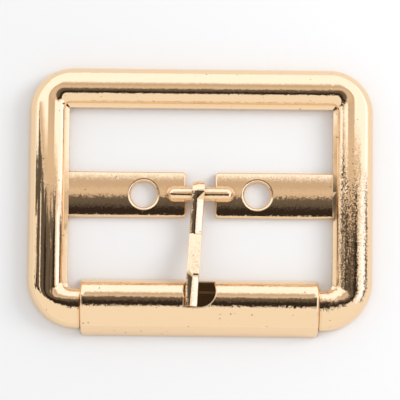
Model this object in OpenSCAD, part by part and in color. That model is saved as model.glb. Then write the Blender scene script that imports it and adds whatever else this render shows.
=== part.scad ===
// Centre-bar belt buckle for a 50 mm strap, lying on its back.
// X runs across the strap, Y along it with the prong's tip towards -Y, and Z is up, out of the front.
// The origin is under the middle of the buckle, on the plane of its flat back.

/* [Frame] */
// Width of the frame, across the strap
frame_w = 66; // [66:0.5:70]
// Length of the frame, along the strap
frame_l = 50.2; // [49:0.1:52]
// Width of the frame's bar, seen from the front
bar_w = 7.7; // [7.5:0.1:8]
// Height of the bar above its flat back
bar_h = 5.2; // [5:0.1:5.5]
// Radius of the bar's outer shoulder
bar_outer_r = 4.1; // [3.9:0.1:4.3]
// Radius of the bar's inner shoulder
bar_inner_r = 2.4; // [2.2:0.1:2.5]
// Outer radius of the two corners on the eye's side
back_corner_r = 8.5; // [8.2:0.1:10]
// Outer radius of the two corners on the sleeve's side
front_corner_r = 9.5; // [8.5:0.1:10]

/* [Centre plates] */
// Width of a plate, along the strap
plate_l = 8.75; // [8:0.05:9.5]
// Thickness of a plate at its middle
plate_t = 2.2; // [2:0.1:2.3]
// Distance from the frame's middle up to the plates' middle
plate_offset = 0.8; // [0:0.1:1.5]
// Gap between the two plates, which the prong's eye turns in
plate_gap = 5.6; // [5:0.1:6.5]
// Radius of the crowned front of a plate
plate_crown_r = 15; // [14:1:30]
// Diameter of a rivet hole
hole_d = 5; // [4:0.1:5.2]
// Distance between the two rivet holes
hole_spacing = 21.8; // [20:0.1:24]
// Radius that rounds the front edge of a rivet hole
hole_round = 0.75; // [0.4:0.05:0.8]

/* [Crossbar] */
// Diameter of the crossbar
crossbar_d = 2.7; // [2.4:0.1:2.8]
// Length of the crossbar with the bosses on both plates
crossbar_l = 12.7; // [11:0.1:14]
// Height of the crossbar's axis above the flat back
crossbar_z = 2.7; // [2.7:0.05:2.9]

/* [Sleeve] */
// Length of the sleeve
sleeve_l = 45.5; // [43:0.1:45.6]
// Width of the sleeve, seen from the front
sleeve_w = 10.9; // [10.7:0.1:11.1]
// Height of the sleeve above the flat back
sleeve_h = 6.5; // [6.4:0.1:6.7]
// How far the sleeve stands out past the frame's outer edge
sleeve_over = 1.2; // [1.1:0.1:1.4]
// Wall of the sleeve
sleeve_t = 1.4; // [1.2:0.1:1.4]
// Radius of the sleeve's outer shoulder
sleeve_outer_r = 7.1; // [7:0.1:7.2]
// Radius of the sleeve's inner shoulder
sleeve_inner_r = 3.4; // [3.2:0.1:3.4]
// Radius of the round notch for the prong's tip
notch_r = 3.1; // [2.8:0.1:3.4]
// Height of the notch's floor above the flat back
notch_z = 4.6; // [4.5:0.1:4.8]

/* [Prong] */
// Width of the prong
prong_w = 2.45; // [2.2:0.05:2.6]
// Thickness of the prong's shank
prong_t = 1.95; // [1.7:0.05:2]
// Outer diameter of the eye
eye_d = 5.2; // [4.8:0.1:5.3]
// Distance from the frame's middle to the middle of the eye, to the left
eye_offset = 0.45; // [0:0.05:0.8]
// Angle that the shank leans to the left
prong_yaw = 3.1; // [0:0.1:3.5]
// Distance from the crossbar to the start of the ramp
ramp_start = 7.3; // [6.5:0.1:8]
// Distance from the crossbar to the end of the ramp
ramp_end = 15.4; // [14.5:0.1:16]
// Distance from the crossbar to the prong's tip
prong_reach = 21.5; // [21:0.1:21.6]
// Height of the shank's underside beside the eye
shank_z = 2.1; // [1.9:0.1:2.3]
// How far the neck climbs from the shank to the eye
neck_rise = 1; // [0.8:0.1:1]

/* [Fits] */
// Radial clearance of the eye on the crossbar
eye_clearance = 0.09; // [0.05:0.01:0.1]
// Gap between the sleeve and the bar that it wraps
sleeve_gap = 0.1; // [0.05:0.01:0.1]
// Gap between the prong's tip and the notch
notch_gap = 0.2; // [0.1:0.05:0.3]
// Gap under the prong's tip
tip_gap = 0.06; // [0.05:0.01:0.1]

/* [Hidden] */

gold = "#efcb98";
$fn = 96;

// Past a face, so that a cut leaves no skin
over = 1;

// Bevel along the edges of a flat back
back_bevel = 0.35;

// The frame's middle lies behind the origin, because the sleeve stands out at the front
frame_y = sleeve_over / 2;
crossbar_y = frame_y + plate_offset;
// The sleeve's outer arc is widest a little inside the front of its cross-section, above the bevel
sleeve_arc_low = sleeve_outer_r - sleeve_h + back_bevel;
sleeve_lost = sleeve_outer_r - sqrt(pow(sleeve_outer_r, 2) - pow(sleeve_arc_low, 2));
sleeve_front_y = frame_y - frame_l / 2 - sleeve_over - sleeve_lost;

// The foot: a sloped wall under the inner shoulder, and the height of the crease between the two.
// The frame's foot ends just under the front of the plates.
frame_crease_z = 3.7;
frame_foot_z = 1.9;
sleeve_crease_z = 2.6;
sleeve_foot_z = 0.6;

// Under the sleeve the bar is set in all round by the sleeve's wall and its gap
core_inset = sleeve_t + sleeve_gap;
// Gap between the sleeve's ends and the full bar on either side
core_end_gap = 0.05;
core_l = sleeve_l + 2 * core_end_gap;

// Rounding of the plates' corners, seen from the front, and of their front edges
plate_corner_r = 0.7;
plate_edge_r = 0.4;
// How far a plate reaches into the side bar's foot
plate_root = 1.5;

// Distances from the crossbar between which the neck runs
neck_start = 1;
neck_end = 3.6;

// Radius of the prong's crowned top, and the bevel along its other edges
prong_crown_r = 1.9;
prong_bevel = 0.2;

// Round pieces of the sections below
module disc(x, y, r) {
    translate([x, y]) circle(r = r);
}

// Cross-section of a domed bar: x runs inwards from its outer face, y is the height above the back.
// The outer shoulder is the wider one, and the inner one ends in a crease over the sloped foot.
module bar_section(width, height, outer_r, inner_r, crease, foot) {
    // The inner arc has turned upright where the crease lies below its centre
    arc_low = max(0, crease - height + inner_r);
    crease_x = outer_r + sqrt(pow(inner_r, 2) - pow(arc_low, 2));
    difference() {
        polygon([
            [back_bevel, 0], [0, back_bevel], [0, height], [crease_x, height],
            [crease_x, crease], [width, foot], [width, back_bevel], [width - back_bevel, 0]
        ]);
        difference() {
            translate([-over, height - outer_r]) square(outer_r + over);
            disc(outer_r, height - outer_r, outer_r);
        }
        difference() {
            translate([outer_r, height - inner_r]) square([crease_x - outer_r, inner_r + over]);
            disc(outer_r, height - inner_r, inner_r);
        }
    }
}

module frame_section() {
    bar_section(bar_w, bar_h, bar_outer_r, bar_inner_r, frame_crease_z, frame_foot_z);
}

// A straight run of the ring along +X, with the outer face on y = 0 and the window on the +Y side
module straight_bar(length) {
    rotate([90, 0, 90]) linear_extrude(length) frame_section();
}

// A quarter of the ring round the origin, in the quadrant of +X and +Y
module corner_bar(r) {
    rotate_extrude(angle = 90) translate([r, 0]) mirror([1, 0]) frame_section();
}

// The ring, round its own middle
module ring() {
    x = frame_w / 2;
    y = frame_l / 2;
    back_x = x - back_corner_r;
    front_x = x - front_corner_r;
    side_l = frame_l - back_corner_r - front_corner_r;
    for (side = [0, 1]) mirror([side, 0, 0]) {
        translate([back_x, y - back_corner_r, 0]) corner_bar(back_corner_r);
        translate([front_x, front_corner_r - y, 0]) rotate([0, 0, -90]) corner_bar(front_corner_r);
        translate([x, front_corner_r - y, 0]) rotate([0, 0, 90]) straight_bar(side_l);
        translate([-front_x, -y, 0]) straight_bar(front_x - core_l / 2);
    }
    translate([back_x, y, 0]) rotate([0, 0, 180]) straight_bar(2 * back_x);
}

// The bar under the sleeve, which follows the sleeve's own hollow
module core() {
    translate([-core_l / 2, sleeve_front_y, 0]) rotate([90, 0, 90]) linear_extrude(core_l)
        sleeve_section(core_inset);
}

// One plate, which reaches in from the right side bar
module plate() {
    length = frame_w / 2 - bar_w + plate_root - plate_gap / 2;
    translate([plate_gap / 2, crossbar_y, 0]) intersection() {
        rotate([90, 0, 90]) linear_extrude(length) plate_section();
        linear_extrude(plate_t) plate_outline(length);
    }
}

// Cross-section of a plate, round its middle: a shallow crown with rounded front edges
module plate_section() {
    half = plate_l / 2;
    edge_z = plate_t - plate_crown_r + sqrt(pow(plate_crown_r, 2) - pow(half, 2));
    difference() {
        intersection() {
            translate([-half, 0]) square([plate_l, plate_t]);
            disc(0, plate_t - plate_crown_r, plate_crown_r);
        }
        for (side = [-1, 1]) scale([side, 1]) difference() {
            translate([half - plate_edge_r, edge_z - plate_edge_r]) square(plate_edge_r + over);
            disc(half - plate_edge_r, edge_z - plate_edge_r, plate_edge_r);
        }
    }
}

// Outline of a plate, seen from the front, with its two free corners rounded
module plate_outline(length) {
    half = plate_l / 2;
    difference() {
        translate([0, -half]) square([length, plate_l]);
        for (side = [-1, 1]) scale([1, side]) difference() {
            translate([-over, half - plate_corner_r]) square(plate_corner_r + over);
            disc(plate_corner_r, half - plate_corner_r, plate_corner_r);
        }
    }
}

// Cutter for a rivet hole with a rounded front edge
module rivet_hole() {
    r = hole_d / 2;
    translate([0, 0, -over]) cylinder(h = plate_t + 2 * over, r = r);
    rotate_extrude() difference() {
        translate([0, plate_t - hole_round]) square([r + hole_round, hole_round + over]);
        disc(r + hole_round, plate_t - hole_round, hole_round);
    }
}

// The crossbar, a rod along X with round ends that lie in the plates
module crossbar() {
    r = crossbar_d / 2;
    translate([0, crossbar_y, crossbar_z]) rotate([0, 90, 0]) rotate_extrude() intersection() {
        union() {
            translate([0, r - crossbar_l / 2]) square([r, crossbar_l - 2 * r]);
            for (end = [-1, 1]) disc(0, end * (crossbar_l / 2 - r), r);
        }
        translate([0, -crossbar_l / 2]) square([r, crossbar_l]);
    }
}

module frame() {
    color(gold) difference() {
        union() {
            translate([0, frame_y, 0]) ring();
            core();
            for (side = [0, 1]) mirror([side, 0, 0]) plate();
            crossbar();
        }
        for (side = [-1, 1]) translate([side * hole_spacing / 2, crossbar_y, 0]) rivet_hole();
        notch();
    }
}

// Cross-section of the sleeve, set in all round by the given amount: 0 for its outside
module sleeve_section(inset) {
    translate([inset, inset]) bar_section(sleeve_w - 2 * inset, sleeve_h - 2 * inset,
        sleeve_outer_r - inset, sleeve_inner_r - inset, sleeve_crease_z - inset, sleeve_foot_z);
}

module sleeve() {
    color(gold) difference() {
        translate([-sleeve_l / 2, sleeve_front_y, 0]) rotate([90, 0, 90]) linear_extrude(sleeve_l)
            sleeve_section(0);
        translate([-sleeve_l / 2 - over, sleeve_front_y, 0]) rotate([90, 0, 90])
            linear_extrude(sleeve_l + 2 * over) sleeve_section(sleeve_t);
        notch();
    }
}

// Cutter for the notch: a round pocket, and a seat round the leaning tip
module notch() {
    tip_y = crossbar_y - prong_reach - notch_gap;
    translate([0, tip_y + notch_r, notch_z]) cylinder(h = sleeve_h, r = notch_r);
    lean() translate([-prong_w / 2 - notch_gap, -prong_reach - notch_gap, notch_z])
        cube([prong_w + 2 * notch_gap, notch_r, sleeve_h]);
}

// Puts a shape that is drawn along -Y from the crossbar's axis into the prong's leaning direction
module lean() {
    translate([-eye_offset, crossbar_y, 0]) rotate([0, 0, -prong_yaw]) children();
}

// Cross-section of the shank, round its middle, with a crowned or a flat top
module shank_section(crowned) {
    intersection() {
        square([prong_w, prong_t], center = true);
        rotate(45) square((prong_w + prong_t) / sqrt(2) - prong_bevel * sqrt(2), center = true);
        if (crowned) disc(0, prong_t / 2 - prong_crown_r, prong_crown_r);
        else square([prong_w, prong_t], center = true);
    }
}

// A straight stretch of the shank between two points [distance from the crossbar, height of its middle]
module stretch(from, to, crowned) {
    run = to - from;
    rise = atan2(run[1], run[0]);
    translate([0, -from[0], from[1]]) rotate([90 - rise, 0, 0]) linear_extrude(norm(run))
        shank_section(crowned);
}

module shank() {
    low = shank_z + prong_t / 2;
    high = notch_z + tip_gap + prong_t / 2;
    ramp = [ramp_end - ramp_start, high - low];
    // Each stretch runs a little past the bend, so that the bend closes on its outer side
    past = prong_t / 2 * tan(atan2(ramp[1], ramp[0]) / 2);
    along = past * ramp / norm(ramp);
    stretch([neck_start, low + neck_rise], [neck_end, low], true);
    stretch([crossbar_d / 2, low], [ramp_start + past, low], true);
    stretch([ramp_start, low] - along, [ramp_end, high] + along, false);
    stretch([ramp_end - past, high], [prong_reach, high], true);
}

module prong() {
    color(gold) difference() {
        union() {
            lean() shank();
            eye_rod(eye_d / 2, prong_w);
        }
        eye_rod(crossbar_d / 2 + eye_clearance, prong_w + 2 * over);
    }
}

// A rod round the crossbar's axis, at the eye
module eye_rod(r, length) {
    translate([-eye_offset - length / 2, crossbar_y, crossbar_z]) rotate([0, 90, 0])
        cylinder(h = length, r = r);
}

frame();
sleeve();
prong();
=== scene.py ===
import math

import bmesh
import bpy
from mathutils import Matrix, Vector


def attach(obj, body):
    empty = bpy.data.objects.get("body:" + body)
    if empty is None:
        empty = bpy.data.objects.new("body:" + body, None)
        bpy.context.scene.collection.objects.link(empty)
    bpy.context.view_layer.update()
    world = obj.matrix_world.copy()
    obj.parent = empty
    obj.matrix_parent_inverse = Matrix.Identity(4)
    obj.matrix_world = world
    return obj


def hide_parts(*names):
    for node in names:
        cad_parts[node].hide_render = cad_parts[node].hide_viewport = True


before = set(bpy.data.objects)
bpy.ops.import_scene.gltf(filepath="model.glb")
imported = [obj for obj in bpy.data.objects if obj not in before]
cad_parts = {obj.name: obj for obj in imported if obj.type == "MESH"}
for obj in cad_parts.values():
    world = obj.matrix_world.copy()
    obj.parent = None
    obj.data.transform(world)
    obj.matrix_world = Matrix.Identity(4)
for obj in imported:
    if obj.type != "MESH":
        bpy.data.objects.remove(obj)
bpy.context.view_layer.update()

MM = 0.001

# The view
# The photograph was taken from almost straight above the middle of the buckle, a little from the sleeve's
# side. The buckle is turned a little clockwise in it.
view_width = 76.6 * MM
view_distance = 600 * MM
view_elevation = math.radians(83.6)
view_roll = math.radians(0.6)
view_centre = Vector((-0.1, 0.35, 2.0)) * MM

camera = bpy.data.objects.new("camera", bpy.data.cameras.new("camera"))
bpy.context.collection.objects.link(camera)
level = math.cos(view_elevation)
towards_camera = Vector((
    level * math.sin(view_roll),
    -level * math.cos(view_roll),
    math.sin(view_elevation),
))
camera.location = view_centre + towards_camera * view_distance
camera.rotation_euler = (math.pi / 2 - view_elevation, 0, view_roll)
camera.data.lens = camera.data.sensor_width * view_distance / view_width
camera.data.clip_start = 10 * MM
camera.data.clip_end = 10
bpy.context.scene.camera = camera
bpy.context.scene.view_settings.view_transform = "Standard"


# The frame's ring
# A rectangular ring of zinc alloy, die cast in one piece with the plates and the crossbar. It is domed in
# front and flat behind, with a sloped foot round its window. Its outline is drawn along the four bars and
# spun round the corners.
frame_w = 66 * MM
frame_l = 50.2 * MM
# The ring's middle lies behind the origin, because the sleeve stands out in front
frame_y = 0.6 * MM
bar_w = 7.7 * MM
bar_h = 5.2 * MM
outer_shoulder = 3.8 * MM
inner_shoulder = 3.8 * MM
crease_x = 6.75 * MM
crease_z = 3.8 * MM
wall_x = 6.88 * MM
wall_z = 2.65 * MM
foot_z = 2.2 * MM
back_bevel = 0.35 * MM
back_corner_r = 8.5 * MM
front_corner_r = 9.5 * MM
# The corners tighten inwards: radius of the corner at the outer face, the crest, the crease and the foot
back_corner_radii = [back_corner_r, 2.6 * MM, 0.9 * MM, 0.3 * MM]
front_corner_radii = [front_corner_r, 3.2 * MM, 1.9 * MM, 1.1 * MM]
# Beside the sleeve the crest and the crease lie further in than on the side bars
side_lines = [0, outer_shoulder, crease_x, bar_w]
front_lines = [0, 5.2 * MM, 7.4 * MM, bar_w]

# Places closer than a hair are the same, and points closer than merge_below become one
hair = 0.01 * MM
merge_below = 0.002 * MM
# How far a cutter or a rough shape reaches past the real one
past = 1 * MM


def start_piece(name, add, **place):
    """A primitive in edit mode, with nothing else selected. Its place is in its mesh."""
    bpy.ops.object.select_all(action="DESELECT")
    add(**place)
    piece = bpy.context.object
    piece.name = piece.data.name = name
    bpy.ops.object.transform_apply(location=True, rotation=True, scale=True)
    bpy.ops.object.mode_set(mode="EDIT")
    bpy.ops.mesh.select_mode(type="VERT")
    bpy.ops.mesh.select_all(action="SELECT")
    return piece


def pick(piece, kind, test):
    """Selects the vertices, edges or faces whose middle passes the test, and nothing else."""
    bpy.ops.mesh.select_mode(type=kind)
    bpy.ops.mesh.select_all(action="DESELECT")
    shape = bmesh.from_edit_mesh(piece.data)
    things = {"VERT": shape.verts, "EDGE": shape.edges, "FACE": shape.faces}[kind]
    for thing in things:
        corners = [thing.co] if kind == "VERT" else [v.co for v in thing.verts]
        if test(sum(corners, Vector()) / len(corners)):
            thing.select_set(True)
    bmesh.update_edit_mesh(piece.data)


def near(place, within=hair):
    """A test for pick: the middle is at this place."""
    return lambda at: (at - Vector(place)).length < within


def draw_along(way, steps=1):
    """Draws the selection along a straight way in equal steps."""
    for _ in range(steps):
        bpy.ops.mesh.extrude_region_move(TRANSFORM_OT_translate={"value": Vector(way) / steps})


def turn_corner(centre):
    """Spins the selected outline a quarter turn round an upright axis, anticlockwise seen from above."""
    bpy.ops.mesh.spin(steps=20, angle=-math.pi / 2, center=centre, axis=(0, 0, 1))


def close_shape():
    """Merges what lies on itself, turns all faces outwards and leaves edit mode."""
    bpy.ops.mesh.select_mode(type="VERT")
    bpy.ops.mesh.select_all(action="SELECT")
    bpy.ops.mesh.remove_doubles(threshold=merge_below)
    bpy.ops.mesh.normals_make_consistent(inside=False)
    bpy.ops.object.mode_set(mode="OBJECT")


def domed_outline(name, face_x, z, width, height, outer, inner, crease, foot):
    """The filled outline, at y = 0, of a domed bar that runs along Y, with its outer face at face_x."""
    dome = outer + inner
    left, bottom, top = face_x - dome, z - past, z + height
    piece = start_piece(name, bpy.ops.mesh.primitive_plane_add, size=1, rotation=(math.pi / 2, 0, 0))
    bpy.ops.transform.resize(value=(dome, 1, top - bottom))
    bpy.ops.transform.translate(value=(face_x - dome / 2, 0, (top + bottom) / 2))
    pick(piece, "VERT", near((face_x, 0, top)))
    bpy.ops.mesh.bevel(offset=outer, segments=24, profile=0.5, affect="VERTICES", clamp_overlap=False)
    pick(piece, "VERT", near((left, 0, top)))
    bpy.ops.mesh.bevel(offset=inner, segments=14, profile=0.5, affect="VERTICES", clamp_overlap=False)
    bpy.ops.mesh.select_all(action="SELECT")
    bpy.ops.mesh.bisect(plane_co=(0, 0, z), plane_no=(0, 0, 1), clear_inner=True, threshold=1e-7)
    # The foot starts from a crease in the shoulder itself, or in the upright wall under it
    arc_low = crease - height + inner
    if arc_low > 0:
        left = face_x - outer - math.sqrt(inner**2 - arc_low**2)
        bpy.ops.mesh.select_all(action="SELECT")
        bpy.ops.mesh.bisect(plane_co=(left, 0, 0), plane_no=(1, 0, 0), clear_inner=True, threshold=1e-7)
    else:
        pick(piece, "EDGE", lambda at: abs(at.x - left) < hair and at.z < top - inner)
        bpy.ops.mesh.subdivide(number_cuts=1)
        middle = (z + top - inner) / 2
        pick(piece, "VERT", near((left, 0, middle)))
        bpy.ops.transform.translate(value=(0, 0, z + crease - middle))
    pick(piece, "EDGE", near((left, 0, z + crease / 2)))
    draw_along((face_x - width - left, 0, 0))
    pick(piece, "VERT", near((face_x - width, 0, z + crease)))
    bpy.ops.transform.translate(value=(0, 0, foot - crease))
    pick(piece, "EDGE", near((left, 0, z + crease / 2)))
    bpy.ops.mesh.dissolve_edges(use_verts=False)
    pick(piece, "VERT", near((left, 0, z)))
    bpy.ops.mesh.dissolve_verts()
    # The bevels beside the flat back
    pick(piece, "VERT", lambda at: at.z < z + hair)
    bpy.ops.mesh.bevel(offset=back_bevel, segments=3, profile=0.5, affect="VERTICES")
    bpy.ops.mesh.select_all(action="SELECT")
    bpy.ops.mesh.remove_doubles(threshold=merge_below)
    bpy.ops.mesh.select_all(action="SELECT")
    return piece


def along(value, marks, results):
    """The result for a value between marks, on straight lines from mark to mark."""
    for i in range(len(marks) - 1):
        if value <= marks[i + 1] or i == len(marks) - 2:
            share = (value - marks[i]) / (marks[i + 1] - marks[i])
            return results[i] + share * (results[i + 1] - results[i])


ring = domed_outline(
    "frame_casting", frame_w / 2, 0, bar_w, bar_h, outer_shoulder, inner_shoulder, crease_z, foot_z
)
# An upright wall leads from the crease down to the foot
slope_x, slope_z = (crease_x + bar_w) / 2, (crease_z + foot_z) / 2
on_slope = near((frame_w / 2 - slope_x, 0, slope_z), within=0.1 * MM)
pick(ring, "EDGE", on_slope)
bpy.ops.mesh.subdivide(number_cuts=1)
pick(ring, "VERT", on_slope)
bpy.ops.transform.translate(value=(slope_x - wall_x, 0, wall_z - slope_z))
bpy.ops.mesh.select_all(action="SELECT")
bpy.ops.mesh.delete(type="ONLY_FACE")
bpy.ops.mesh.select_all(action="SELECT")

# The steps are about a millimetre long, and half that on the front bar
back_x = frame_w / 2 - back_corner_r
back_y = frame_y + frame_l / 2 - back_corner_r
front_x = frame_w / 2 - front_corner_r
front_y = frame_y - frame_l / 2 + front_corner_r
draw_along((0, back_y, 0), steps=16)
turn_corner((back_x, back_y, 0))
draw_along((-2 * back_x, 0, 0), steps=44)
turn_corner((-back_x, back_y, 0))
draw_along((0, front_y - back_y, 0), steps=30)
turn_corner((-front_x, front_y, 0))
draw_along((2 * front_x, 0, 0), steps=94)
turn_corner((front_x, front_y, 0))
draw_along((0, -front_y, 0), steps=14)
close_shape()

# Each line of the outline gets its own corner radius, and slides inwards on its way round a front corner
for vertex in ring.data.vertices:
    x, y = vertex.co.xy
    side = math.copysign(1, x)
    if y > back_y and abs(x) > back_x - hair:
        corner_y, corner_x, face_r, radii, way = back_y, back_x, back_corner_r, back_corner_radii, 1
    elif y < front_y + hair and abs(x) > front_x - hair:
        corner_y, corner_x, face_r, radii, way = front_y, front_x, front_corner_r, front_corner_radii, -1
    elif y < front_y:
        depth = y - (front_y - front_corner_r)
        vertex.co.y = front_y - front_corner_r + along(depth, side_lines, front_lines)
        continue
    else:
        continue
    across, up = abs(x) - corner_x, (y - corner_y) * way
    depth = face_r - math.hypot(across, up)
    turned = math.atan2(up, across)
    radius = along(depth, side_lines, radii)
    if way < 0:
        share = turned / (math.pi / 2)
        share = share * share * (3 - 2 * share)
        depth += share * (along(depth, side_lines, front_lines) - depth)
    shift = face_r - depth - radius
    vertex.co.x = side * (corner_x + shift + radius * math.cos(turned))
    vertex.co.y = corner_y + way * (shift + radius * math.sin(turned))


# The centre plates
# Two crowned tongues of the same casting, which reach in from the side bars. Each has a rivet hole with a
# rounded rim, and its front edges are rounded. The left plate is a mirrored copy of the right one.
plate_gap = 5.6 * MM
plate_l = 8.75 * MM
plate_t = 2.2 * MM
plate_y = frame_y + 0.8 * MM
plate_crown_r = 15 * MM
plate_corner_r = 0.7 * MM
plate_edge_r = 0.4 * MM
plate_back_bevel = 0.15 * MM
plate_root = 1.3 * MM
hole_r = 2.5 * MM
hole_x = 10.9 * MM
hole_round = 0.75 * MM


def select_only(piece):
    """Selects a piece and makes it the active one, with nothing else selected."""
    bpy.ops.object.select_all(action="DESELECT")
    piece.select_set(True)
    bpy.context.view_layer.objects.active = piece


def carve(piece, tool, operation="DIFFERENCE"):
    """Cuts the tool out of the piece, or fuses it to the piece, and removes the tool."""
    select_only(piece)
    cut = piece.modifiers.new("cut", "BOOLEAN")
    cut.operation = operation
    cut.solver = "MANIFOLD"
    cut.object = tool
    bpy.ops.object.modifier_apply(modifier=cut.name)
    bpy.data.objects.remove(tool)


plate_end = frame_w / 2 - bar_w + plate_root
plate = start_piece("plate", bpy.ops.mesh.primitive_cube_add, size=1)
bpy.ops.transform.resize(value=(plate_end - plate_gap / 2, plate_l, plate_t))
bpy.ops.transform.translate(value=((plate_end + plate_gap / 2) / 2, plate_y, plate_t / 2))
pick(plate, "EDGE", lambda at: at.x < plate_gap / 2 + hair and abs(at.z - plate_t / 2) < hair)
bpy.ops.mesh.bevel(offset=plate_corner_r, segments=8, profile=0.5)
pick(plate, "EDGE", lambda at: at.z > plate_t - hair and at.x < plate_end - hair)
bpy.ops.mesh.bevel(offset=plate_edge_r, segments=6, profile=0.5)
pick(plate, "EDGE", lambda at: at.z < hair and at.x < plate_end - hair)
bpy.ops.mesh.bevel(offset=plate_back_bevel, segments=2, profile=0.5)
close_shape()

# The drill widens along the rounded rim. It lies a touch higher than the plate, so that no faces coincide
drill_lift = 0.002 * MM
flare_steps = 8
hole_middle = Vector((hole_x, plate_y, 0))
drill = start_piece("drill", bpy.ops.mesh.primitive_circle_add, vertices=72, radius=hole_r, fill_type="NGON")
bpy.ops.transform.translate(value=(hole_x, plate_y, -past))
draw_along((0, 0, past + plate_t - hole_round + drill_lift))
drill_r = hole_r
for step in range(1, flare_steps + 1):
    angle = math.pi / 2 * step / flare_steps
    rise = hole_round * (math.sin(angle) - math.sin(angle - math.pi / 2 / flare_steps))
    wider = hole_r + hole_round * (1 - math.cos(angle))
    draw_along((0, 0, rise))
    bpy.ops.transform.resize(value=(wider / drill_r, wider / drill_r, 1), center_override=hole_middle)
    drill_r = wider
draw_along((0, 0, past))
close_shape()
carve(plate, drill)

# The crown: the front falls away from the plate's middle line, in strips that follow a large arc
bpy.ops.object.mode_set(mode="EDIT")
strips = 28
for strip in range(1, strips):
    bpy.ops.mesh.select_all(action="SELECT")
    cut_y = plate_y + plate_l * (strip / strips - 0.5)
    bpy.ops.mesh.bisect(plane_co=(0, cut_y, 0), plane_no=(0, 1, 0), threshold=1e-7)
bpy.ops.object.mode_set(mode="OBJECT")
for vertex in plate.data.vertices:
    fall = plate_crown_r - math.sqrt(plate_crown_r**2 - (vertex.co.y - plate_y) ** 2)
    vertex.co.z -= fall * min(1, max(0, vertex.co.z / (plate_t - hole_round)))

select_only(plate)
bpy.ops.object.duplicate()
left_plate = bpy.context.object
left_plate.scale.x = -1
bpy.ops.object.transform_apply(location=False, rotation=False, scale=True)
bpy.ops.object.mode_set(mode="EDIT")
close_shape()


# The crossbar
# A round rod of the same casting that joins the plates and carries the prong's eye. Its round ends lie on
# the plates as bosses, with a small fillet at their foot.
crossbar_r = 1.35 * MM
crossbar_z = 2.7 * MM
crossbar_l = 12.7 * MM
boss_x = crossbar_l / 2 - crossbar_r
fillet = 0.12 * MM
fillet_z = plate_t + 0.02 * MM
fillet_steps = 6
fillet_shift = 0.1 * MM
skirt_depth = 0.6 * MM
skirt_gap = plate_gap + 0.6 * MM

rod = start_piece(
    "rod", bpy.ops.mesh.primitive_uv_sphere_add, segments=48, ring_count=24, radius=crossbar_r,
    rotation=(0, math.pi / 2, 0),
)
bpy.ops.transform.translate(value=(0, plate_y, crossbar_z))
for side in (-1, 1):
    pick(rod, "VERT", lambda at: at.x * side > hair)
    bpy.ops.transform.translate(value=(side * boss_x, 0, 0))
close_shape()

# The skirt carries the fillet round the rod's foot. It is drawn up out of the plates, drawn in along the
# fillet, and cut away between the plates
skirt = start_piece(
    "skirt", bpy.ops.mesh.primitive_circle_add, vertices=64, radius=crossbar_r + fillet, fill_type="NGON"
)
bpy.ops.transform.translate(value=(0, plate_y + fillet_shift, plate_t - skirt_depth))
for side in (-1, 1):
    pick(skirt, "VERT", lambda at: at.x * side > -hair)
    bpy.ops.transform.translate(value=(side * boss_x, 0, 0))
pick(skirt, "FACE", lambda at: True)
draw_along((0, 0, skirt_depth + fillet_z - plate_t))
for step in range(fillet_steps):
    low, high = math.pi / 2 * step / fillet_steps, math.pi / 2 * (step + 1) / fillet_steps
    bpy.ops.mesh.inset(
        thickness=fillet * (math.sin(high) - math.sin(low)), depth=fillet * (math.cos(low) - math.cos(high))
    )
close_shape()
gap = start_piece("gap", bpy.ops.mesh.primitive_cube_add, size=1)
bpy.ops.transform.resize(value=(skirt_gap, 8 * MM, 4 * MM))
bpy.ops.transform.translate(value=(0, plate_y, 3 * MM))
close_shape()
carve(skirt, gap)

for part in [plate, left_plate, skirt, rod]:
    carve(ring, part, "UNION")


# The bar under the sleeve
# The casting's front bar is slimmer where the sleeve wraps it. It follows the sleeve's outside, set in all
# round by the sleeve's wall and a small gap. The notch that takes the prong's tip is cut a little into it.
sleeve_l = 45.35 * MM
sleeve_w = 10.9 * MM
sleeve_h = 6.5 * MM
sleeve_outer = 6.7 * MM
sleeve_inner = 3.8 * MM
sleeve_crease_z = 2.6 * MM
sleeve_foot_z = 0.6 * MM
sleeve_t = 1.4 * MM
sleeve_gap = 0.1 * MM
# Distance of the sleeve's outer face in front of the origin
sleeve_face = 25.715 * MM
notch_r = 3.1 * MM
notch_z = 4.6 * MM
notch_gap = 0.12 * MM
prong_reach = 21.8 * MM
prong_w = 2.45 * MM
prong_x = -0.45 * MM
prong_lean = math.radians(3.1)
# The full bar is cut away a little further than the sleeve's ends, and the slim one reaches into both stumps
void_l = sleeve_l + 0.3 * MM
core_l = sleeve_l + 0.34 * MM


def front_bar(name, length, inset, steps=1):
    """A domed solid along the front bar, set in all round from the sleeve's outside."""
    piece = domed_outline(
        name, sleeve_face - inset, inset, sleeve_w - 2 * inset, sleeve_h - 2 * inset,
        sleeve_outer - inset, sleeve_inner - inset, sleeve_crease_z - inset, sleeve_foot_z,
    )
    bpy.ops.transform.translate(value=(0, -length / 2, 0))
    draw_along((0, length, 0), steps)
    close_shape()
    piece.rotation_euler.z = -math.pi / 2
    bpy.ops.object.transform_apply(location=False, rotation=True, scale=False)
    return piece


def notch_cutter(wider=0):
    """A round pocket and a seat for the leaning tip, down to the notch's floor. A wider one ends higher."""
    tip_y = plate_y - prong_reach - notch_gap
    floor_z = notch_z + wider / 4
    pocket = start_piece(
        "pocket", bpy.ops.mesh.primitive_cylinder_add, vertices=96, radius=notch_r + wider, depth=sleeve_h
    )
    bpy.ops.transform.translate(value=(0, tip_y + notch_r, floor_z + sleeve_h / 2))
    close_shape()
    seat = start_piece("seat", bpy.ops.mesh.primitive_cube_add, size=1)
    bpy.ops.transform.resize(value=(prong_w + 2 * (notch_gap + wider), notch_r, sleeve_h - 2 * hair))
    bpy.ops.transform.translate(
        value=(0, notch_r / 2 - prong_reach - notch_gap - wider, floor_z + sleeve_h / 2)
    )
    close_shape()
    seat.rotation_euler.z = -prong_lean
    seat.location = (prong_x, plate_y, 0)
    bpy.ops.object.transform_apply(location=True, rotation=True, scale=False)
    carve(pocket, seat, "UNION")
    return pocket


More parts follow.
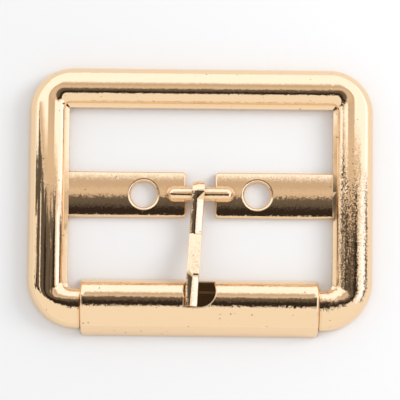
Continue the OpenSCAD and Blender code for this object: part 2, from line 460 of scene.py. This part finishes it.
# The void is a box with room to spare in front of the bar, behind, above and below
void = start_piece("void", bpy.ops.mesh.primitive_cube_add, size=1)
bpy.ops.transform.resize(value=(void_l, 14 * MM, 12 * MM))
bpy.ops.transform.translate(value=(0, -20.3 * MM, 2.6 * MM))
close_shape()
carve(ring, void)
carve(ring, front_bar("core", core_l, sleeve_t + sleeve_gap), "UNION")
carve(ring, notch_cutter())


# The frame's plating
# Pale gold electroplate over the polished casting, which the sleeve and the prong have too. To the eye it is
# a warm, slightly wavy mirror, worn to streaks and a fine grain on the side bars. Painted shade deepens its
# colour in the creases and darkens the notch's floor.
gold_colour = "#f7d7ae"
crease_shade_colour = "#dca566"
# Painted shade: the deeper colour the gold is given in its creases
pit_colour = "#4a2f18"
# Painted shade for the floor of the notch, which lies deep in shadow
notch_shade_colour = "#8a6844"
# Where the side bars begin, seen from the middle, and where the domes do, seen from below
side_bar_x = 25.3 * MM
dome_z = 3.9 * MM
# Worn patches, orange peel, grains of the scuffed metal and the cells that hold one pit each
patch_w = 7 * MM
peel_w = 2.5 * MM
grain_w = 0.18 * MM
pit_cell = 1 * MM
# Painted shade on the notch's floor: middle, radius, height and how far from it, and where it ends on the
# left
notch_shade_middle = Vector((0, -17.5, 0)) * MM
notch_shade_r = 3.5 * MM
notch_shade_z = 4.4 * MM
notch_shade_depth = 0.35 * MM
notch_shade_left = -1.5 * MM
# How far a line or a grain leans the metal, and the brightness of a line that doesn't lean it
streak_lean = 0.33
grain_lean = 0.21
level_line = 0.62


def linear(hex_colour):
    """Linear colour of an sRGB hex value."""
    parts = [int(hex_colour[i:i + 2], 16) / 255 for i in (1, 3, 5)]
    return [c / 12.92 if c <= 0.04045 else ((c + 0.055) / 1.055) ** 2.4 for c in parts] + [1]


def add_node(tree, kind, links=(), values=(), **settings):
    """Adds one node with its settings. Links and values pair an input with an output or a constant."""
    node = tree.nodes.new(kind)
    for name, value in settings.items():
        setattr(node, name, value)
    for name, value in values:
        node.inputs[name].default_value = value
    for name, output in links:
        tree.links.new(output, node.inputs[name])
    return node


gold = bpy.data.materials.new("pale gold plating")
gold.use_nodes = True
tree = gold.node_tree
shader = tree.nodes["Principled BSDF"]
shader.inputs["Metallic"].default_value = 1
place = add_node(tree, "ShaderNodeTexCoord")
spot = place.outputs["Object"]
axes = add_node(tree, "ShaderNodeSeparateXYZ", [("Vector", spot)])

# Fine lines of polishing and wear run lengthwise: along Y on the side bars, and along X elsewhere. They are
# drawn a quarter of a millimetre wide, some ten times as coarse as real, so that they show
line_l = 20 / 3 * MM
line_w = MM / 4.2
lines_along = {}
for way, line_box in [("x", (line_l, line_w, line_w)), ("y", (line_w, line_l, line_w))]:
    scales = [1 / size for size in line_box]
    stretched = add_node(tree, "ShaderNodeVectorMath", [(0, spot)], [(1, scales)], operation="MULTIPLY")
    lines_along[way] = add_node(
        tree, "ShaderNodeTexNoise", [("Vector", stretched.outputs[0])], [("Scale", 1), ("Detail", 2)]
    )
off_middle = add_node(tree, "ShaderNodeMath", [(0, axes.outputs["X"])], operation="ABSOLUTE")
on_side = add_node(
    tree, "ShaderNodeMath", [(0, off_middle.outputs[0])], [(1, side_bar_x)], operation="GREATER_THAN"
)
lines = add_node(
    tree, "ShaderNodeMix",
    [("Factor", on_side.outputs[0]), ("A", lines_along["x"].outputs[0]), ("B", lines_along["y"].outputs[0])],
)

# Wear comes in patches on the domes, most of it towards the sleeve
patches = add_node(tree, "ShaderNodeTexNoise", [("Vector", spot)], [("Scale", 1 / patch_w), ("Detail", 1)])
worn = add_node(
    tree, "ShaderNodeMapRange", [("Value", patches.outputs[0])],
    [("From Min", 0.38), ("From Max", 0.62), ("To Min", 0.5), ("To Max", 1)],
)
frontwards = add_node(
    tree, "ShaderNodeMapRange", [("Value", axes.outputs["Y"])],
    [("From Min", 13 * MM), ("From Max", 2 * MM), ("To Min", 0.15), ("To Max", 1)],
)
on_dome = add_node(
    tree, "ShaderNodeMath", [(0, axes.outputs["Z"])], [(1, dome_z)], operation="GREATER_THAN"
)
worn_front = add_node(
    tree, "ShaderNodeMath", [(0, worn.outputs[0]), (1, frontwards.outputs[0])], operation="MULTIPLY"
)
wear = add_node(
    tree, "ShaderNodeMath", [(0, worn_front.outputs[0]), (1, on_dome.outputs[0])], operation="MULTIPLY"
)

# The lines show on the side bars, and most of all on their front halves
scuffed = add_node(
    tree, "ShaderNodeMapRange", [("Value", axes.outputs["Y"])],
    [("From Min", 3 * MM), ("From Max", -5 * MM), ("To Min", 0.12), ("To Max", 1)],
)
worn_side = add_node(
    tree, "ShaderNodeMath", [(0, wear.outputs[0]), (1, on_side.outputs[0])], operation="MULTIPLY"
)
scratched = add_node(
    tree, "ShaderNodeMath", [(0, worn_side.outputs[0]), (1, scuffed.outputs[0])], operation="MULTIPLY"
)

# A fine grain scuffs the right side bar all over, the left one hardly, and what lies between them a little
rightwards = add_node(
    tree, "ShaderNodeMapRange", [("Value", axes.outputs["X"])],
    [("From Min", 22 * MM), ("From Max", 26 * MM), ("To Min", 0.14), ("To Max", 1)],
)
off_side = add_node(tree, "ShaderNodeMath", [(1, on_side.outputs[0])], [(0, 1)], operation="SUBTRACT")
faint = add_node(tree, "ShaderNodeMath", [(0, off_side.outputs[0])], [(1, 0.3)], operation="MULTIPLY")
grain = add_node(
    tree, "ShaderNodeMath", [(0, wear.outputs[0]), (1, rightwards.outputs[0]), (2, faint.outputs[0])],
    operation="MULTIPLY_ADD",
)

# Small pits where the plating missed, in about half of the cells and at most a quarter of a millimetre wide
cells = add_node(tree, "ShaderNodeTexVoronoi", [("Vector", spot)], [("Scale", 1 / pit_cell)])
luck = add_node(tree, "ShaderNodeSeparateColor", [("Color", cells.outputs["Color"])])
pit_r = add_node(
    tree, "ShaderNodeMapRange", [("Value", luck.outputs[0])],
    [("From Min", 0.45), ("From Max", 1), ("To Min", 0), ("To Max", 0.13)],
)
pits = add_node(
    tree, "ShaderNodeMath", [(0, cells.outputs["Distance"]), (1, pit_r.outputs[0])], operation="LESS_THAN"
)

# Painted shade and reflection: an occlusion mask deepens the gold's colour in creases, standing in for the
# metal mirroring itself there
hollow = add_node(tree, "ShaderNodeAmbientOcclusion", values=[("Distance", 0.9 * MM)], samples=8)
crease_shaded_gold = add_node(
    tree, "ShaderNodeMix", [("Factor", hollow.outputs["AO"])],
    [("A", linear(crease_shade_colour)), ("B", linear(gold_colour))], data_type="RGBA",
)
pitted = add_node(
    tree, "ShaderNodeMix", [("Factor", pits.outputs[0]), ("A", crease_shaded_gold.outputs["Result"])],
    [("B", linear(pit_colour))], data_type="RGBA",
)

# Painted shade: the floor of the notch is darkened, except left of the prong's tip
from_notch = add_node(
    tree, "ShaderNodeVectorMath", [(0, spot)], [(1, notch_shade_middle)], operation="SUBTRACT"
)
from_notch_level = add_node(
    tree, "ShaderNodeVectorMath", [(0, from_notch.outputs[0])], [(1, (1, 1, 0))], operation="MULTIPLY"
)
notch_away = add_node(tree, "ShaderNodeVectorMath", [(0, from_notch_level.outputs[0])], operation="LENGTH")
in_round = add_node(
    tree, "ShaderNodeMath", [(0, notch_away.outputs["Value"])], [(1, notch_shade_r)], operation="LESS_THAN"
)
low = add_node(
    tree, "ShaderNodeMath", [(0, axes.outputs["Z"])], [(1, notch_shade_z), (2, notch_shade_depth)], operation="COMPARE"
)
beside = add_node(
    tree, "ShaderNodeMath", [(0, axes.outputs["X"])], [(1, notch_shade_left)], operation="GREATER_THAN"
)
round_floor = add_node(
    tree, "ShaderNodeMath", [(0, in_round.outputs[0]), (1, beside.outputs[0])], operation="MULTIPLY"
)
on_floor = add_node(
    tree, "ShaderNodeMath", [(0, round_floor.outputs[0]), (1, low.outputs[0])], operation="MULTIPLY"
)
notch_shaded = add_node(
    tree, "ShaderNodeMix", [("Factor", on_floor.outputs[0]), ("A", pitted.outputs["Result"])],
    [("B", linear(notch_shade_colour))], data_type="RGBA",
)
tree.links.new(notch_shaded.outputs["Result"], shader.inputs["Base Color"])

# Rounded edges, the soft waves of orange peel, and the pits' depth
edges = add_node(tree, "ShaderNodeBevel", values=[("Radius", 0.14 * MM)], samples=6)
waves = add_node(tree, "ShaderNodeTexNoise", [("Vector", spot)], [("Scale", 1 / peel_w), ("Detail", 1)])
normal = edges.outputs[0]
for height, depth in [(waves.outputs[0], 0.01 * MM), (pits.outputs[0], -0.01 * MM)]:
    bump = add_node(tree, "ShaderNodeBump", [("Height", height), ("Normal", normal)], [("Distance", depth)])
    normal = bump.outputs[0]

# Each line leans the metal a little, mostly forwards, so that what the side bars mirror breaks up in streaks
centred = add_node(tree, "ShaderNodeMath", [(0, lines.outputs[0])], [(1, level_line)], operation="SUBTRACT")
lean = add_node(
    tree, "ShaderNodeMath", [(0, centred.outputs[0]), (1, scratched.outputs[0])], operation="MULTIPLY"
)
streak = add_node(
    tree, "ShaderNodeVectorMath", [(0, lean.outputs[0])], [(1, (0, streak_lean, 0))], operation="MULTIPLY"
)
leaning = add_node(tree, "ShaderNodeVectorMath", [(0, normal), (1, streak.outputs[0])], operation="ADD")
# Each grain of the scuffed metal has a lean of its own. The grains are drawn coarser than real, a pixel wide
grains = add_node(tree, "ShaderNodeTexVoronoi", [("Vector", spot)], [("Scale", 1 / grain_w)])
off_centre = add_node(
    tree, "ShaderNodeVectorMath", [(0, grains.outputs["Color"])], [(1, (0.5, 0.5, 0.5))],
    operation="SUBTRACT",
)
grained = add_node(
    tree, "ShaderNodeVectorMath", [(0, off_centre.outputs[0]), ("Scale", grain.outputs[0])],
    operation="SCALE",
)
speckled = add_node(
    tree, "ShaderNodeVectorMath", [(0, grained.outputs[0]), (2, leaning.outputs[0])],
    [(1, [grain_lean] * 3)], operation="MULTIPLY_ADD",
)
unit = add_node(tree, "ShaderNodeVectorMath", [(0, speckled.outputs[0])], operation="NORMALIZE")
tree.links.new(unit.outputs[0], shader.inputs["Normal"])

# The lines vary the gloss a little too
gloss = add_node(
    tree, "ShaderNodeMapRange", [("Value", lines.outputs[0])],
    [("From Min", 0.3), ("From Max", 0.7), ("To Min", 0.03), ("To Max", 0.07)],
)
tree.links.new(gloss.outputs[0], shader.inputs["Roughness"])


def gild(piece, smooth_below):
    """Gives the piece the gold, and smooth shading where its faces meet at fewer degrees than this."""
    select_only(piece)
    piece.data.materials.clear()
    piece.data.materials.append(gold)
    bpy.ops.object.shade_smooth_by_angle(angle=math.radians(smooth_below))


gild(ring, smooth_below=30)

# The plates' crown is one even arc, also where the bosses cut its faces
crown_middle = Vector((0, plate_y, plate_t - plate_crown_r))


def on_crown(place):
    """Whether a place lies on the plates' crowned front."""
    radius = math.hypot(place.y - crown_middle.y, place.z - crown_middle.z)
    return abs(radius - plate_crown_r) < 1.5 * hair and abs(place.x) < plate_end


normals = [(0, 0, 0)] * len(ring.data.loops)
for face in ring.data.polygons:
    places = [ring.data.vertices[i].co for i in face.vertices]
    if face.normal.z > 0.9 and all(on_crown(place) for place in places):
        for loop, place in zip(face.loop_indices, places):
            outwards = Vector((0, place.y - crown_middle.y, place.z - crown_middle.z))
            normals[loop] = outwards.normalized()
ring.data.normals_split_custom_set(normals)

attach(ring, "frame")
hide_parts("frame")


# The sleeve
# A thicker tube of the same alloy and plating, wrapped round the slim part of the front bar. Its ends are
# rounded, and it has a notch that takes the prong's tip, with a narrow step round the rim.
sleeve_end_r = 0.55 * MM
rim_w = 0.17 * MM
rim_h = 0.13 * MM

sleeve = front_bar("sleeve_tube", sleeve_l, 0, steps=46)
bpy.ops.object.mode_set(mode="EDIT")
pick(sleeve, "EDGE", lambda at: abs(at.x) > sleeve_l / 2 - hair)
bpy.ops.mesh.bevel(offset=sleeve_end_r, segments=6, profile=0.5)
close_shape()
carve(sleeve, notch_cutter())
carve(sleeve, front_bar("hollow", sleeve_l + 2 * past, sleeve_t))
rim = notch_cutter(rim_w)
carve(rim, front_bar("below_rim", sleeve_l + past, rim_h))
carve(sleeve, rim)

gild(sleeve, smooth_below=30)
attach(sleeve, "frame")
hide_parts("sleeve")


# The prong
# A cast pin of the same alloy and plating. Its eye turns on the crossbar. Its shank slopes evenly down from
# the eye, then up by a flat ramp to the tip, which lies in the sleeve's notch. Its front is a low roof with
# an uneven ridge. Distances along it are measured from the crossbar's axis.
eye_r = 2.6 * MM
bore_r = 1.44 * MM
prong_t = 1.95 * MM
prong_edge_r = 0.15 * MM
shank_start = -0.5 * MM
shank_lean = math.radians(10.1)
ramp_start = 7.7 * MM
ramp_end = 15.9 * MM
bend = 0.35 * MM
tip_gap = 0.06 * MM
# Where the roof starts and where it is full, and where its ridge runs on the shank and on the tip
roof_start = -0.2 * MM
roof_full = 1.2 * MM
ridge_x = -0.2 * MM
tip_ridge_x = -0.12 * MM
tip_ridge_turn = -0.22 * MM
ridge_half = 0.22 * MM
ridge_rise = 0.03 * MM
neck_flat = 0.18 * MM
left_fall = 0.36 * MM
right_fall = 0.75 * MM
ramp_fall = 0.1 * MM
# The bevel beside the tip: places on its upper line, and its slope down to the left
bevel_slope = math.radians(37)
bevel_start_x = -0.95 * MM
bevel_start_depth = 0.27 * MM
bevel_end_x = -0.66 * MM
bevel_end_depth = 0.13 * MM
# The eye is set in where the shank covers it, between two angles forwards from upright, in degrees
covered_from = -9
covered_to = 93
covered_ease = 10
covered_depth = 0.6 * MM
# The eye's turn in degrees, what it is thicker inwards until it is bored, and narrower than the shank
eye_turn = 2
eye_spare = 0.2 * MM
eye_slimmer = 0.04 * MM


def prong_outline(name, y, thickness, top):
    """The filled outline of the prong at y, with rounded edges and more corners along its top."""
    outline = start_piece(name, bpy.ops.mesh.primitive_plane_add, size=1, rotation=(math.pi / 2, 0, 0))
    bpy.ops.transform.resize(value=(prong_w, 1, thickness))
    bpy.ops.transform.translate(value=(0, y, top - thickness / 2))
    pick(outline, "VERT", lambda at: at.z > top - hair)
    bpy.ops.mesh.bevel(offset=prong_edge_r, segments=4, profile=0.5, affect="VERTICES")
    pick(outline, "VERT", lambda at: at.z < top - thickness + hair)
    bpy.ops.mesh.bevel(offset=prong_edge_r, segments=4, profile=0.5, affect="VERTICES")
    pick(outline, "EDGE", lambda at: at.z > top - hair / 10)
    bpy.ops.mesh.subdivide(number_cuts=7)
    pick(outline, "FACE", lambda at: True)
    return outline


tip_top = notch_z + tip_gap + prong_t
shank_top = crossbar_z + math.sqrt(eye_r**2 - shank_start**2)
low_top = shank_top - (ramp_start - shank_start) * math.tan(shank_lean)


def shank_height(distance):
    """Height of the shank's front before the roof. The ramp ends in a soft bend."""
    if distance < ramp_start:
        return shank_top - (distance - shank_start) * math.tan(shank_lean)
    slope = (tip_top - low_top) / (ramp_end - ramp_start)
    if distance < ramp_end - bend:
        return low_top + slope * (distance - ramp_start)
    return tip_top - slope * max(0, ramp_end + bend - distance) ** 2 / (4 * bend)


prong = prong_outline("prong_pin", -shank_start, prong_t, tip_top)
reached = shank_start
for stop, steps in [
    (shank_start + 0.04 * MM, 1), (4 * MM, 55), (ramp_start - 0.2 * MM, 6), (ramp_start, 2),
    (ramp_start + 0.1 * MM, 1), (ramp_start + 0.3 * MM, 2), (ramp_end - bend, 14), (ramp_end + bend, 8),
    (ramp_end + bend + 0.2 * MM, 2), (prong_reach, 10),
]:
    draw_along((0, reached - stop, 0), steps)
    reached = stop
close_shape()
# The front follows the shank's height, and falls away from its ridge on both sides, but not on the ramp
half_w = prong_w / 2
flat_half = half_w - prong_edge_r
for vertex in prong.data.vertices:
    x, distance, z = vertex.co.x, -vertex.co.y, vertex.co.z
    height = shank_height(distance)
    if distance < shank_start + 2 * hair:
        # The end face lies a little inside the eye
        height -= hair / 2
    over = z - tip_top
    if over < -prong_edge_r - hair:
        vertex.co.z = z + height - tip_top
        continue
    share = min(1, max(0, (distance - roof_start) / (roof_full - roof_start)))
    ridge = ridge_x
    if distance > ramp_end - bend:
        ridge = tip_ridge_x + tip_ridge_turn * (distance - ramp_end) / (prong_reach - ramp_end)
    right_ridge = ridge + (1 - share) * (flat_half - ridge)
    if abs(x) < 0.8 * flat_half:
        # The corners of the top gather at the two ends of the flat between the slopes
        start = right_ridge - neck_flat * (1 - share) if x > 0.1 * flat_half else ridge
        x = start + x / flat_half * ridge_half
    fall = right_fall * share * max(0, x - right_ridge) / (half_w - right_ridge)
    fall += left_fall * max(0, ridge - x) / (half_w + ridge)
    fall += ridge_rise * share**4 * max(0, 1 - abs(x - ridge) / ridge_half) ** 2
    if distance > ramp_start + 0.05 * MM:
        past_ramp = min(1, max(0, (distance - ramp_end + bend) / (2 * bend)))
        fall = ramp_fall + (fall - ramp_fall) * past_ramp
    vertex.co.x = x
    vertex.co.z = height + over - fall

# The bevel along the tip's left side widens towards its end
bevel_start = Vector((bevel_start_x, -ramp_end - 0.5 * MM, tip_top - bevel_start_depth))
bevel_end = Vector((bevel_end_x, -prong_reach, tip_top - bevel_end_depth))
bevel_down = Vector((-math.cos(bevel_slope), 0, -math.sin(bevel_slope)))
bevel_out = bevel_down.cross(bevel_end - bevel_start).normalized()
planed_off = start_piece("planed_off", bpy.ops.mesh.primitive_cube_add, size=6 * MM)
bpy.ops.transform.translate(value=(0, 0, 3 * MM))
close_shape()
planed_off.rotation_euler = bevel_out.to_track_quat("Z", "Y").to_euler()
planed_off.location = (bevel_start + bevel_end) / 2
carve(prong, planed_off)

# The eye is a ring round the crossbar. It is turned a little, so that no corners lie on the shank's
eye = prong_outline("eye", 0, eye_r - bore_r + eye_spare, crossbar_z + eye_r)
bpy.ops.mesh.delete(type="ONLY_FACE")
bpy.ops.mesh.select_all(action="SELECT")
bpy.ops.transform.resize(value=(1 - eye_slimmer / prong_w, 1, 1))
bpy.ops.mesh.spin(steps=90, angle=2 * math.pi, center=(0, 0, crossbar_z), axis=(1, 0, 0))
close_shape()
for vertex in eye.data.vertices:
    forward, up = -vertex.co.y, vertex.co.z - crossbar_z
    radius = math.hypot(forward, up)
    turned = math.degrees(math.atan2(forward, up)) + eye_turn
    if radius > (bore_r + eye_r) / 2:
        # Its outer face falls away like the shank's
        radius -= left_fall * max(0, ridge_x - vertex.co.x) / (half_w + ridge_x)
        if covered_from < turned < covered_to:
            radius -= covered_depth * min(1, (turned - covered_from) / covered_ease)
    turned = math.radians(turned)
    vertex.co.y = -radius * math.sin(turned)
    vertex.co.z = crossbar_z + radius * math.cos(turned)
carve(prong, eye, "UNION")
prong.rotation_euler.z = -prong_lean
prong.location = (prong_x, plate_y, 0)
bpy.ops.object.transform_apply(location=True, rotation=True, scale=False)
bore = start_piece(
    "bore", bpy.ops.mesh.primitive_cylinder_add, vertices=90, radius=bore_r, depth=prong_w + 2 * past,
    rotation=(0, math.pi / 2, 0),
)
bpy.ops.transform.translate(value=(prong_x, plate_y, crossbar_z))
close_shape()
carve(prong, bore)

# The prong's facets meet at low angles, and stay crisp
gild(prong, smooth_below=16)
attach(prong, "prong")
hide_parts("prong")


# The paper and its light
# A large sheet of matt white paper that the buckle lies on, to the eye an even ground with faint shadows. It
# is lit softly from all round, and a little more from the right, by light that the metal doesn't mirror.
paper_colour = "#f7f7f8"
paper_side = 4

floor = start_piece("paper", bpy.ops.mesh.primitive_plane_add, size=1)
bpy.ops.transform.resize(value=(paper_side, paper_side, 1))
bpy.ops.transform.translate(value=(0, 0, -hair))
close_shape()
paper = bpy.data.materials.new("white paper")
paper.use_nodes = True
paper_shader = paper.node_tree.nodes["Principled BSDF"]
paper_shader.inputs["Base Color"].default_value = linear(paper_colour)
paper_shader.inputs["Roughness"].default_value = 1
paper_shader.inputs["Specular IOR Level"].default_value = 0
floor.data.materials.append(paper)

world = bpy.data.worlds.new("studio")
bpy.context.scene.world = world
world.use_nodes = True
world.node_tree.nodes["Background"].inputs["Color"].default_value = linear("#ffffff")
world.node_tree.nodes["Background"].inputs["Strength"].default_value = 0.81
world.cycles_visibility.glossy = False

lamp = bpy.data.objects.new("lamp", bpy.data.lights.new("lamp", "AREA"))
bpy.context.collection.objects.link(lamp)
lamp.data.shape = "SQUARE"
lamp.data.size = 200 * MM
lamp.data.energy = 0.65
lamp.location = Vector((300, 120, 260)) * MM
lamp.rotation_euler = (-lamp.location).to_track_quat("-Z", "Y").to_euler()
lamp.visible_glossy = False


# The studio
# What the metal mirrors, and nothing else sees: a low ceiling of glowing cards, dark over the front, tan
# behind it and cream at the back, a long bright window on the right, and pale walls with dark bands at the
# sides. Each colour is a share of the brightest light. Places are in millimetres.
brightest = 2.1
deep = "#231e1c"
dim = "#44413e"
dark = "#534e4a"
tan = "#988f87"
pale_tan = "#a49b94"
light_tan = "#b3ada8"
white = "#b7b7b7"
cream = "#cbd3e2"
bright = "#d5dcfa"
ceiling_z = 104
left = -213
right = 250
front = -55
front_right = -130
back = 300
# The colours of a card along Y, each at its y
middle_stops = [
    (front, deep), (-28, deep), (-18, dim), (5.5, dark), (8, tan), (16, pale_tan), (24, pale_tan), (36, tan),
    (56, tan), (84, cream),
]
edge_stops = [(13, light_tan), (17, tan), (23, light_tan), (30, cream)]
wing_stops = [(front, deep), (-8, deep), (7, dim), (11, dark)] + edge_stops
far_left_stops = [(front, dim), (7, dim), (11, dark)] + edge_stops


def card(name, first, last, stops):
    """A glowing card between two edges, each a pair of (x, y, z). Its stops are its colours along Y."""
    piece = start_piece(name, bpy.ops.mesh.primitive_plane_add, size=1)
    close_shape()
    corners = [first[0], first[1], last[0], last[1]]
    for vertex in piece.data.vertices:
        along_x, along_y = vertex.co.x > 0, vertex.co.y > 0
        vertex.co = Vector(corners[along_x + 2 * along_y]) * MM
    glow = bpy.data.materials.new(name)
    glow.use_nodes = True
    tree = glow.node_tree
    tree.nodes.clear()
    place = add_node(tree, "ShaderNodeTexCoord")
    split = add_node(tree, "ShaderNodeSeparateXYZ", [("Vector", place.outputs["UV"])])
    ramp = add_node(tree, "ShaderNodeValToRGB", [("Fac", split.outputs["Y"])])
    elements = ramp.color_ramp.elements
    while len(elements) < len(stops):
        elements.new(0.5)
    while len(elements) > len(stops):
        elements.remove(elements[-1])
    for element, (at_y, colour) in zip(elements, stops):
        element.position = (at_y - first[0][1]) / (last[0][1] - first[0][1])
        element.color = linear(colour)
    light = add_node(tree, "ShaderNodeEmission", [("Color", ramp.outputs[0])], [("Strength", brightest)])
    add_node(tree, "ShaderNodeOutputMaterial", [("Surface", light.outputs[0])])
    piece.data.materials.append(glow)
    piece.visible_camera = False
    piece.visible_diffuse = False
    piece.visible_shadow = False


# Cards that run straight along Y: the (x, z) of one side and of the other, then where they start and stop
for name, (x_1, z_1), (x_2, z_2), (from_y, to_y), stops in [
    ("ceiling_middle", (-36, ceiling_z), (36, ceiling_z), (front, back), middle_stops),
    ("ceiling_left", (-60, ceiling_z), (-36, ceiling_z), (front, back), wing_stops),
    ("ceiling_right", (36, ceiling_z), (80, ceiling_z), (front, back), wing_stops),
    ("ceiling_far_right", (80, ceiling_z), (125, 96.6), (12, back), [(12, dark)] + edge_stops),
    ("ceiling_strip", (-124, 103), (-106, 103), (-40, 16), [(-40, white)]),
    ("window_edge", (80, ceiling_z), (114, 98.4), (front_right, 12), [(front_right, white)]),
    ("window", (114, 98.4), (right, 76), (front_right, 12), [(front_right, bright)]),
    ("window_back", (125, 96.6), (right, 76), (12, back),
     [(12, bright), (14, light_tan), (18, light_tan), (22, cream)]),
    ("wall_right", (right, 0), (right, 76), (front_right, back),
     [(front_right, dark), (20, dark), (26, bright)]),
    ("wall_left_top", (left, 86), (left, ceiling_z), (front, back),
     [(front, dim), (0, dim), (2, white), (14, white), (16, dim), (30, dim), (36, cream)]),
    ("wall_left", (left, 47), (left, 86), (front, back),
     [(front, dim), (-16, dim), (-14, white), (8, white), (12, dim), (30, dim), (36, cream)]),
    ("wall_left_low", (left, 0), (left, 47), (front, back), [(front, white)]),
]:
    card(name, ((x_1, from_y, z_1), (x_2, from_y, z_2)), ((x_1, to_y, z_1), (x_2, to_y, z_2)), stops)
# The ceiling's left end slants back, and the walls in front and behind turn across
card(
    "ceiling_far_left", ((-60, front, ceiling_z), (left, front + 36, ceiling_z)),
    ((-60, back, ceiling_z), (left, back + 36, ceiling_z)), far_left_stops,
)
for name, start_x, stop_x, at_y, colour in [
    ("wall_front", left, 80, front, white), ("wall_front_right", 80, right, front_right, white),
    ("wall_back", left, right, back, cream),
]:
    card(
        name, ((start_x, at_y, 0), (start_x, at_y, ceiling_z)),
        ((stop_x, at_y + 1, 0), (stop_x, at_y + 1, ceiling_z)), [(at_y, colour)],
    )
